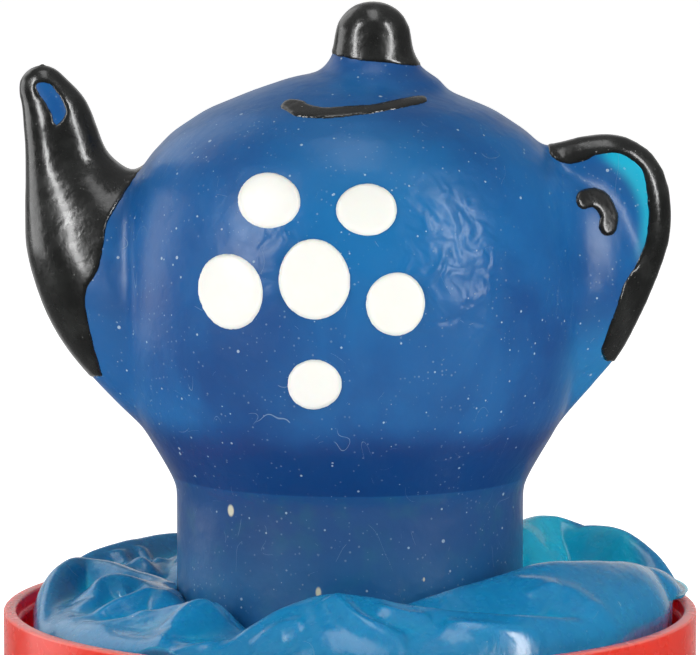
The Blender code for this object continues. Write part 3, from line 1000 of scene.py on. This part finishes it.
    def depths(self, x: np.ndarray, y: np.ndarray, height: np.ndarray, past: np.ndarray) -> np.ndarray:
        """How deep each point of the top lies below the ridges round it, from 0 to 1, which sets its
        painted glow and painted shade; the stretched pocket at the neck's right is raised to 0.8 for a
        painted glow and the turned-down edge is held at most 0.5.

        Args:
            x: the points' x, in millimetres.
            y: the points' y.
            height: how high they lie.
            past: how far they are into the turned-down edge, from 0 to 1.

        Returns:
            The depths.
        """
        level = height.copy()
        for _ in range(self.softenings):
            level = 0.25 * (np.roll(level, 1, 0) + np.roll(level, -1, 0)
                            + np.concatenate([level[:, :1], level[:, :-1]], axis=1)
                            + np.concatenate([level[:, 1:], level[:, -1:]], axis=1))
        depth = np.clip(0.5 + (level - height) / self.fold_depth, 0.0, 1.0)
        # painted glow: the stretched pocket at the neck's right is raised to 0.8
        pocket = rising(x, self.neck_side, 4.0) * rising(y, -1.0, 5.0) * rising(-x, -self.outer, 3.5)
        depth = depth + pocket * (0.8 - depth)
        return np.minimum(depth, 1.0 - 0.5 * np.clip(3.0 * past, 0.0, 1.0))

    def inside(self, turn: np.ndarray, lip: np.ndarray) -> np.ndarray:
        """Rings up the sleeve's inside, from its foot to just below the lip's heights."""
        rings = []
        for step in np.linspace(0.0, 1.0, 9)[:-1]:
            radius = self.inner + 0.35 * (1.0 - step) * (1.0 + np.sin(11 * turn + 3.0 * step))
            rings.append(around(radius, turn, self.bottom + (lip - 0.6 - self.bottom) * step))
        return np.stack(rings, axis=1)

    def outside(self, turn: np.ndarray, edge: np.ndarray, lip: np.ndarray) -> np.ndarray:
        """Rings down the sleeve's pleated outside, from just under its edge to the bead."""
        pleats = self.gather * (0.5 + 0.5 * np.sin(23 * turn + 4.0 * np.sin(3 * turn)))
        held = np.minimum(edge, self.under_rim - self.skirt_gap)
        rings = []
        for step in (0.01, *np.linspace(0.0, 1.0, 15)[1:]):
            radius = held - pleats * min(6 * step, 1.0)
            radius = radius + (self.bead_radius - radius) * rising(step, 0.72, 0.28) ** 1.5
            rings.append(around(radius, turn, lip + (self.bead_height + 0.4 - lip) * step))
        return np.stack(rings, axis=1)

    def surface(self) -> tuple[np.ndarray, np.ndarray]:
        """The sleeve as one sheet, from its inner foot up, over the folds and down its outside.

        Returns:
            The points in metres, turns by rings, and how deep each lies below the ridges round it, which
            sets its painted glow and painted shade.
        """
        turn = np.linspace(-pi, pi, self.turns, endpoint=False)
        edge = self.edge_radius(turn)
        radius = self.inner + (edge[:, None] - self.inner) * np.linspace(0.0, 1.0, self.rings)
        past = rising(radius, edge[:, None] - self.roll, self.roll)
        x, y = radius * np.cos(turn)[:, None], radius * np.sin(turn)[:, None]
        height = self.heights(x, y, radius, past)
        inside = self.inside(turn, height[:, 0])
        outside = self.outside(turn, edge, height[:, -1])
        points = np.concatenate([inside, np.stack([x, y, height], axis=-1), outside], axis=1)
        shade = np.concatenate([np.full(inside.shape[:2], self.inside_shade),
                                self.depths(x, y, height, past),
                                np.full(outside.shape[:2], self.skirt_shade)], axis=1)
        return points * MM, shade

    def bead(self) -> Mesh:
        """The slightly uneven round bead at the sleeve's open end."""
        turns = np.linspace(0.0, 2 * pi, 288, endpoint=False)[:, None]
        tube = np.linspace(0.0, 2 * pi, 20, endpoint=False)[None, :]
        half = self.bead_half * (1.0 + 0.05 * np.sin(7 * turns) + 0.03 * np.sin(19 * turns + 1.0))
        radius = self.bead_radius + half * np.cos(tube)
        points = around(radius, turns, self.bead_height + half * np.sin(tube)) * MM
        return grid_mesh("sleeve_rim", points, wrap_u=True, wrap_v=True)

    def build(self, latex: Material) -> None:
        """Make the sleeve and the bead at its open end."""
        points, shade = self.surface()
        mesh = grid_mesh("gathered_sleeve", points, wrap_u=True)
        layer = mesh.attributes.new(DEPTH, "FLOAT", "POINT")
        layer.data.foreach_set("value", shade.reshape(-1).astype(np.float32))
        sleeve = link("gathered_sleeve", walled("gathered_sleeve", mesh, self.thickness))
        placed(dressed(sleeve, latex, 75.0), Body.SLEEVE, "thin_latex", "sleeve_bunch")
        bead = link("sleeve_rim", self.bead())
        placed(dressed(bead, latex), Body.SLEEVE, "thin_latex", "rim_bead")


# --- The figure and its paint ---


@dataclass(frozen=True)
class Coat:
    """A coat of paint on the figure, bounded by an outline seen from the front.

    Attributes:
        name: the piece's name.
        node: the CAD node that it stands for.
        outline: (x, z) points of its border, in millimetres.
        corners: further points, clear of the figure, that close a border which is only a line.
        half: half the width of a brush stroke, whose middle line the outline then is.
        side: which side of the figure it covers.
        thickness: how far it stands proud, in millimetres.
        edge: how wide its rounded border is.
        wander: how far its border strays from the outline.
        missed: the outline of a spot on the front that the brush missed.
        cuts: how many times the skin's edges are divided for it.
        reaches: how far outside its border the skin is kept, before and after that division.
        snap: how near its border a vertex counts as on it.
        sink: how far its underside lies below the skin.
    """

    name: str
    node: str
    outline: tuple[Point2, ...]
    corners: tuple[Point2, ...] = ()
    half: float = 0.0
    side: Side = Side.ALL_ROUND
    thickness: float = 0.13
    edge: float = 0.30
    wander: float = 0.12
    missed: tuple[Point2, ...] = ()
    cuts: int = 1
    reaches: Point2 = (1.2, 0.8)
    snap: float = 0.03
    sink: float = 0.08

    @staticmethod
    def outside_by(line: np.ndarray, x: np.ndarray, z: np.ndarray) -> np.ndarray:
        """How far points lie outside a closed outline, in millimetres, less than 0 inside."""
        away = np.sqrt(nearest(np.concatenate([line, line[:1]]), x, z)[0])
        inside = np.zeros(x.shape, dtype=bool)
        for start, end in zip(line, np.roll(line, -1, axis=0)):
            if start[1] != end[1]:
                crossing = start[0] + (z - start[1]) / (end[1] - start[1]) * (end[0] - start[0])
                inside ^= ((start[1] > z) != (end[1] > z)) & (x < crossing)
        return np.where(inside, -away, away)

    def distances(self, points: np.ndarray) -> np.ndarray:
        """How far points in millimetres lie outside this coat, with its uneven border."""
        closed = not self.corners and not self.half
        line = smooth_line(self.outline, spans=6, closed=closed)
        if self.corners:
            line = np.concatenate([line, np.array(self.corners, dtype=float)])
        if self.half:
            line = np.concatenate([line, line[::-1]])
        result = self.outside_by(line, points[:, 0], points[:, 2])
        if self.half:
            result = np.abs(result) - self.half
        if self.missed:
            spot = self.outside_by(smooth_line(self.missed, closed=True), points[:, 0], points[:, 2])
            result = np.where(points[:, 1] < 0.0, np.maximum(result, -spot), result)
        if self.wander:
            stray = [noise.noise(Vector(point) / 2.2) + 0.5 * noise.noise(Vector(point) / 0.8)
                     for point in points.tolist()]
            result = result + self.wander * np.array(stray)
        if self.side is Side.FRONT:
            result = np.where(points[:, 1] < 0.0, result, np.inf)
        return result

    def build(self, skin: Mesh, paint: Material, slot: str) -> bpy.types.Object:
        """Lift the coat off the figure's skin.

        Args:
            skin: the figure's outer skin.
            paint: its finish.
            slot: not used.

        Returns:
            The coat, as one closed film.
        """
        form = bmesh.new()
        form.from_mesh(skin)
        self.trim(form, self.reaches[0])
        bmesh.ops.subdivide_edges(form, edges=form.edges, cuts=self.cuts, use_grid_fill=True)
        self.trim(form, self.reaches[1])
        self.cut(form)
        self.thicken(form)
        coat = link(self.name, finished(form, self.name))
        placed(dressed(coat, paint, 60.0), Body.FIGURE, slot, self.node)
        return coat

    def measured(self, form: bmesh.types.BMesh) -> np.ndarray:
        """How far each vertex lies outside the coat."""
        return self.distances(np.array([vertex.co for vertex in form.verts]) / MM)

    def trim(self, form: bmesh.types.BMesh, reach: float) -> None:
        """Drop the skin that lies further outside the coat than a reach in millimetres."""
        away = self.measured(form)
        spare = [vertex for vertex, distance in zip(form.verts, away) if distance > reach]
        bmesh.ops.delete(form, geom=spare, context="VERTS")

    def cut(self, form: bmesh.types.BMesh) -> None:
        """Cut the skin along the coat's border and keep what lies inside."""
        form.verts.ensure_lookup_table()
        away = dict(zip(form.verts, self.measured(form)))
        border = set()
        for vertex, distance in away.items():
            if abs(distance) < self.snap:
                away[vertex] = 0.0
                border.add(vertex)
        for edge in list(form.edges):
            first, second = edge.verts
            if away[first] * away[second] < 0.0:
                share = away[first] / (away[first] - away[second])
                _, vertex = bmesh.utils.edge_split(edge, first, share)
                away[vertex] = 0.0
                border.add(vertex)
        bmesh.ops.connect_verts(form, verts=list(border))
        spare = [face for face in form.faces if sum(away[vertex] for vertex in face.verts) > 0.0]
        bmesh.ops.delete(form, geom=spare, context="FACES")
        loose = [vertex for vertex in form.verts if not vertex.link_faces]
        bmesh.ops.delete(form, geom=loose, context="VERTS")

    def thicken(self, form: bmesh.types.BMesh) -> None:
        """Turn the cut skin into a closed film with a rounded border."""
        form.normal_update()
        away = self.measured(form)
        normals = [vertex.normal.copy() for vertex in form.verts]
        rims = [vertex.is_boundary for vertex in form.verts]
        outer = list(form.verts)
        faces = list(form.faces)
        rim_edges = [edge for edge in form.edges if edge.is_boundary]
        under = {vertex: form.verts.new(vertex.co - normal * self.sink * MM)
                 for vertex, normal in zip(outer, normals)}
        for face in faces:
            form.faces.new([under[vertex] for vertex in reversed(face.verts)])
        for edge in rim_edges:
            loop = edge.link_loops[0]
            start, end = loop.vert, loop.link_loop_next.vert
            form.faces.new((end, start, under[start], under[end]))
        for vertex, normal, distance, rim in zip(outer, normals, away, rims):
            deep = 0.0 if rim else min(max(-distance / self.edge, 0.0), 1.0)
            vertex.co += normal * self.thickness * MM * (1.0 - (1.0 - deep) ** 2) ** 0.5


@dataclass
class Figure:
    """The hollow latex teapot: one skin with a knob, a spout and an ear-shaped handle, and its paint."""

    wall: float = 1.0
    neck_radius: float = 16.5
    neck_bottom: float = 4.0
    neck_spare: float = 2.0
    bulb_sides: int = 160
    bulb: tuple[Point2, ...] = (
        (16.5, 45.6), (17.15, 47.0), (18.3, 49.0), (19.5, 51.0), (20.7, 53.5), (21.6, 56.5), (22.1, 60.0),
        (22.25, 64.0), (22.0, 68.0), (21.4, 71.5), (20.4, 74.5), (18.9, 77.0), (16.8, 79.2), (13.6, 81.3),
        (9.2, 83.1), (5.4, 84.4), (0.0, 85.2),
    )
    knob_offset: float = 2.15
    knob_radius: float = 3.6
    knob_centre: float = 87.9
    knob_skirt: tuple[Point2, ...] = ((3.6, 87.9), (3.7, 86.7), (4.6, 85.2), (6.6, 84.0), (6.6, 82.0))
    spout: tuple[Point3, ...] = (
        (-29.0, 83.3, 2.25), (-27.9, 81.1, 3.1), (-27.2, 78.6, 3.45), (-26.7, 76.0, 4.0),
        (-25.7, 73.2, 5.4), (-23.9, 69.8, 7.3), (-20.4, 65.2, 9.0), (-15.3, 60.2, 9.6), (-10.0, 55.5, 9.6),
    )
    ear: tuple[Point2, ...] = (
        (17.0, 75.3), (19.6, 75.6), (22.2, 76.3), (24.9, 76.5), (27.1, 75.0), (27.9, 72.2), (27.8, 69.4),
        (26.7, 66.0), (25.3, 62.8), (23.4, 59.2), (20.6, 55.9), (17.6, 52.4),
    )
    ear_edge: float = 2.4
    ear_web: float = 2.0
    swell_centre: Point3 = (19.0, 0.0, 65.5)
    swell_half: Point3 = (8.2, 7.4, 10.5)
    dimple_centre: Point3 = (23.6, 9.6, 70.6)
    dimple_half: Point3 = (4.4, 5.4, 5.8)
    ear_middle: Point2 = (21.5, 69.0)
    ear_easing: tuple[float, ...] = (6.4, 5.6, 4.8, 4.0)
    ear_rounds: int = 12
    ear_flat: float = 1.2
    voxel: float = 0.5
    passes: int = 14
    knob_line: float = 86.0
    knob_tilt: float = -7.0
    spout_line: tuple[Point2, ...] = (
        (-18.7, 80.0), (-18.8, 77.6), (-19.4, 76.2), (-20.3, 74.9), (-21.4, 73.1), (-22.5, 71.3),
        (-22.9, 69.4), (-23.2, 67.2), (-24.5, 64.9), (-24.6, 63.3), (-24.2, 60.8), (-23.6, 58.2),
        (-23.2, 56.5),
    )
    spout_missed: tuple[Point2, ...] = (
        (-29.4, 83.7), (-28.6, 83.9), (-28.0, 83.7), (-27.4, 82.8), (-26.8, 81.8), (-26.7, 80.9),
        (-27.3, 80.1), (-27.7, 79.9), (-28.0, 81.1), (-28.6, 82.1), (-29.1, 82.8),
    )
    stripe_line: tuple[Point2, ...] = (
        (18.7, 79.0), (18.7, 77.9), (19.0, 77.0), (20.4, 76.3), (21.9, 76.5), (23.3, 77.2), (25.3, 77.2),
        (27.2, 76.1), (27.7, 74.9), (28.0, 72.6), (28.1, 70.9), (27.7, 68.5), (26.8, 66.6), (25.7, 65.0),
        (25.0, 63.3), (24.3, 61.0), (23.7, 59.0), (24.0, 57.8), (24.8, 57.4), (26.4, 57.2),
    )
    hook: tuple[Point2, ...] = ((22.0, 73.1), (22.9, 73.2), (23.8, 72.6), (24.3, 71.5), (24.2, 70.5))
    hook_half: float = 0.90
    lid: tuple[Point2, ...] = (
        (-6.4, 82.1), (-5.6, 82.7), (-4.3, 82.6), (-3.8, 82.3), (-2.4, 82.1), (-0.4, 82.2), (1.6, 82.3),
        (3.6, 82.6), (5.6, 82.9), (6.9, 82.9), (7.1, 82.5), (6.6, 82.3), (4.6, 82.0), (2.6, 81.7),
        (1.1, 81.5), (-0.9, 81.3), (-2.4, 81.2), (-3.8, 81.2), (-5.1, 81.4), (-5.9, 81.8),
    )
    dots: tuple[tuple[float, float, float, float], ...] = (
        (-7.3, 74.1, 2.8, 2.45), (1.5, 73.4, 2.7, 2.3), (-10.8, 65.9, 2.95, 3.4), (-3.2, 67.2, 3.25, 3.55),
        (4.1, 65.0, 2.7, 2.8), (-3.2, 57.7, 2.45, 2.3),
    )

    def knob(self) -> list[Mesh]:
        """The round knob and the flared foot under it."""
        top = ball("knob", (self.knob_offset, 0.0, self.knob_centre), (self.knob_radius,) * 3)
        skirt = self.knob_skirt
        foot = turned("foot", [(0.0, skirt[0][1]), *skirt, (0.0, skirt[-1][1])], 48)
        foot.transform(Matrix.Translation((self.knob_offset * MM, 0.0, 0.0)))
        return [top, foot]

    def skin(self) -> Mesh:
        """The figure's whole outer skin, closed below its neck."""
        bottom = self.neck_bottom - self.neck_spare
        outline = [*self.bulb[::-1], (self.neck_radius, bottom), (0.0, bottom)]
        tip_x, tip_z, tip_radius = self.spout[0]
        skin = melted(joined("figure", [
            turned("bulb", outline, self.bulb_sides),
            *self.knob(),
            tapered_bar("spout", self.spout, 40),
            ball("tip", (tip_x, 0.0, tip_z), (tip_radius,) * 3),
            tapered_bar("ear", [(x, z, self.ear_edge) for x, z in self.ear]),
            web("web", self.ear, self.ear_web),
            ball("swell", self.swell_centre, self.swell_half),
        ]), self.voxel * MM, 0)
        x, y, z = self.dimple_centre
        for side in (-y, y):
            skin = hollowed(skin, ball("dimple", (x, side, z), self.dimple_half))
        return self.eased(melted(skin, self.voxel * MM, self.passes))

    def eased(self, skin: Mesh) -> Mesh:
        """Ease the creases inside the ear's edge, most in its middle."""
        form = bmesh.new()
        form.from_mesh(skin)
        x, z = self.ear_middle
        away = {vertex: Vector((vertex.co.x / MM - x, vertex.co.z / MM - z)).length
                for vertex in form.verts if abs(vertex.co.y) > self.ear_flat * MM}
        for reach in self.ear_easing:
            inner = [vertex for vertex, distance in away.items() if distance < reach]
            for _ in range(self.ear_rounds):
                bmesh.ops.smooth_vert(form, verts=inner, factor=0.5, use_axis_x=True, use_axis_y=True,
                                      use_axis_z=True)
        form.to_mesh(skin)
        form.free()
        return skin

    def shell(self, skin: Mesh) -> Mesh:
        """The hollow wall of latex under the skin, open at the end of the neck."""
        form = bmesh.new()
        form.from_mesh(skin)
        level = self.neck_bottom * MM
        bmesh.ops.bisect_plane(form, geom=[*form.verts, *form.edges, *form.faces], dist=0.0001 * MM,
                               plane_co=(0, 0, level), plane_no=(0, 0, 1), clear_inner=True)
        return walled("shell", finished(form, "shell"), self.wall)

    @staticmethod
    def oval(x: float, z: float, half_width: float, half_height: float, turn: int) -> tuple[Point2, ...]:
        """The outline of a hand-dabbed oval dot."""
        angles = np.linspace(0.0, 2 * pi, 16, endpoint=False)
        swell = 1.0 + 0.015 * np.sin(2 * angles + turn) + 0.010 * np.sin(3 * angles + 2.3 * turn)
        return tuple((x + half_width * s * cos(a), z + half_height * s * sin(a))
                     for a, s in zip(angles, swell))

    def black_coats(self) -> list[Coat]:
        """The black paint: spout, knob, the stripe down the handle, its hook and the lid's line."""
        rise = sin(radians(-self.knob_tilt))
        knob_line = tuple((x, self.knob_line - (x - self.knob_offset) * rise) for x in (-8.0, 2.0, 12.0))
        return [
            Coat("black_spout", "spout_coat", self.spout_line, ((-40, 50), (-40, 95), (-18.7, 95)),
                 missed=self.spout_missed, thickness=0.14),
            Coat("black_knob", "knob_coat", knob_line, ((12, 99), (-8, 99)), thickness=0.14),
            Coat("black_stripe", "handle_stripe", self.stripe_line, ((36, 57.2), (36, 84), (18.7, 84)),
                 thickness=0.16),
            Coat("black_hook", "handle_hook", self.hook, half=self.hook_half, side=Side.FRONT, wander=0.10,
                 thickness=0.24, edge=0.45, cuts=2),
            Coat("lid_stroke", "lid_line", self.lid, side=Side.FRONT, wander=0.05, thickness=0.16, cuts=2),
        ]

    def build(self, latex: Material, black: Material, white: Material) -> None:
        """Make the shell and every coat of paint on it."""
        skin = self.skin()
        LOG.info("the figure's skin has %d faces", len(skin.polygons))
        shell = link("latex_figure", self.shell(skin))
        placed(dressed(shell, latex, 60.0), Body.FIGURE, "thick_latex", "teapot_shell")
        for coat in self.black_coats():
            coat.build(skin, black, "black_paint")
        for number, dot in enumerate(self.dots, 1):
            Coat(f"white_dot_{number}", f"dot_{number}", self.oval(*dot, number), side=Side.FRONT,
                 wander=0.03, thickness=0.34, edge=0.55).build(skin, white, "white_paint")


# --- The studio ---


@dataclass(frozen=True)
class Softbox:
    """A tall soft light, placed by its turn from the front, its height and its distance, in metres."""

    name: str
    turn: float
    height: float
    distance: float
    width: float
    tall: float
    power: float

    def build(self, target: Vector) -> None:
        """Hang the light so that it faces the object."""
        lamp = bpy.data.lights.new(self.name, "AREA")
        lamp.shape = "RECTANGLE"
        lamp.size, lamp.size_y = self.width, self.tall
        lamp.energy = self.power
        obj = bpy.data.objects.new(self.name, lamp)
        turn = radians(self.turn)
        obj.location = (self.distance * sin(turn), -self.distance * cos(turn), self.height)
        obj.rotation_euler = (target - obj.location).to_track_quat("-Z", "Y").to_euler()
        bpy.context.scene.collection.objects.link(obj)


@dataclass
class Studio:
    """A white floor, white surroundings, soft lights and the camera."""

    aim: float = 0.060585
    distance: float = 0.40
    elevation: float = 6.0783
    lens: float = 216.8
    sensor: float = 36.0
    horizon: float = 0.10
    zenith: float = 0.22
    backdrop: float = 0.60
    backdrop_from: float = 0.80
    floor_size: float = 30.0
    floor_glow: float = 0.85
    white: Colour = (1.0, 1.0, 1.0)
    floor_tones: tuple[Colour, Colour] = ((0.90, 0.90, 0.90), (0.93, 0.93, 0.93))
    lights: tuple[Softbox, ...] = (
        Softbox("left_softbox", -54.0, 0.36, 0.62, 0.10, 0.60, 2.5),
        Softbox("right_softbox", 54.0, 0.36, 0.62, 0.10, 0.60, 2.5),
        Softbox("top_softbox", 10.0, 0.80, 0.10, 0.22, 0.50, 0.65),
        Softbox("left_side_softbox", -112.0, 0.12, 0.55, 0.30, 0.30, 0.45),
        Softbox("left_back_softbox", -140.0, 0.36, 0.50, 0.34, 0.34, 0.30),
    )

    def room(self) -> None:
        """White surroundings, brighter overhead and brightest straight behind the object."""
        world = bpy.data.worlds.new("white_room")
        world.use_nodes = True
        nodes, links = world.node_tree.nodes, world.node_tree.links
        split = nodes.new("ShaderNodeSeparateXYZ")
        links.new(nodes.new("ShaderNodeTexCoord").outputs["Generated"], split.inputs[0])
        total = nodes.new("ShaderNodeMath")
        ranges = (("Z", 0.0, self.horizon, self.zenith), ("Y", self.backdrop_from, 0.0, self.backdrop))
        for slot, (axis, start, low, high) in enumerate(ranges):
            part = nodes.new("ShaderNodeMapRange")
            part.inputs["From Min"].default_value = start
            part.inputs["To Min"].default_value = low
            part.inputs["To Max"].default_value = high
            links.new(split.outputs[axis], part.inputs["Value"])
            links.new(part.outputs["Result"], total.inputs[slot])
        links.new(total.outputs[0], nodes["Background"].inputs["Strength"])
        nodes["Background"].inputs["Color"].default_value = (*self.white, 1.0)
        bpy.context.scene.world = world

    def floor(self) -> bpy.types.Object:
        """The wide white floor, which glows a little and leaves no sheen on the object."""
        half = 0.5 * self.floor_size
        mesh = bpy.data.meshes.new("floor")
        corners = [(-half, -half, 0), (half, -half, 0), (half, half, 0), (-half, half, 0)]
        mesh.from_pydata(corners, [], [(0, 1, 2, 3)])
        floor = link("floor", mesh)
        graph = Graph("floor_white")
        mottle = graph.mix(graph.noise(0.004, 2.0), *self.floor_tones)
        floor.data.materials.append(graph.finish(mottle, 0.9, Emission_Strength=self.floor_glow))
        graph.shader.inputs["Emission Color"].default_value = (*self.white, 1.0)
        floor.visible_glossy = False
        return floor

    def camera(self, target: Vector) -> None:
        """A long lens from the front, a little above the object."""
        lens = bpy.data.cameras.new("camera")
        lens.lens = self.lens
        lens.sensor_width = self.sensor
        lens.clip_start, lens.clip_end = 0.01, 100.0
        camera = bpy.data.objects.new("camera", lens)
        tilt = radians(self.elevation)
        camera.location = (0.0, -self.distance * cos(tilt), self.aim + self.distance * sin(tilt))
        camera.rotation_euler = (target - camera.location).to_track_quat("-Z", "Y").to_euler()
        bpy.context.scene.collection.objects.link(camera)
        bpy.context.scene.camera = camera

    def build(self) -> None:
        """Set up the room, the floor, the lights and the camera."""
        bpy.context.scene.view_settings.view_transform = "Standard"
        self.room()
        self.floor()
        target = Vector((0.0, 0.0, self.aim))
        for light in self.lights:
            light.build(target)
        self.camera(target)


def main() -> None:
    """Build the tub, the sleeve, the figure and the studio."""
    logging.basicConfig(level=logging.INFO, format="%(message)s")
    Tub().build(RedPlastic().material())
    Sleeve().build(ThinLatex().material())
    Figure().build(ThickLatex().material(), BlackPaint().material(), WhitePaint().material())
    Studio().build()


if __name__ == "__main__":
    main()
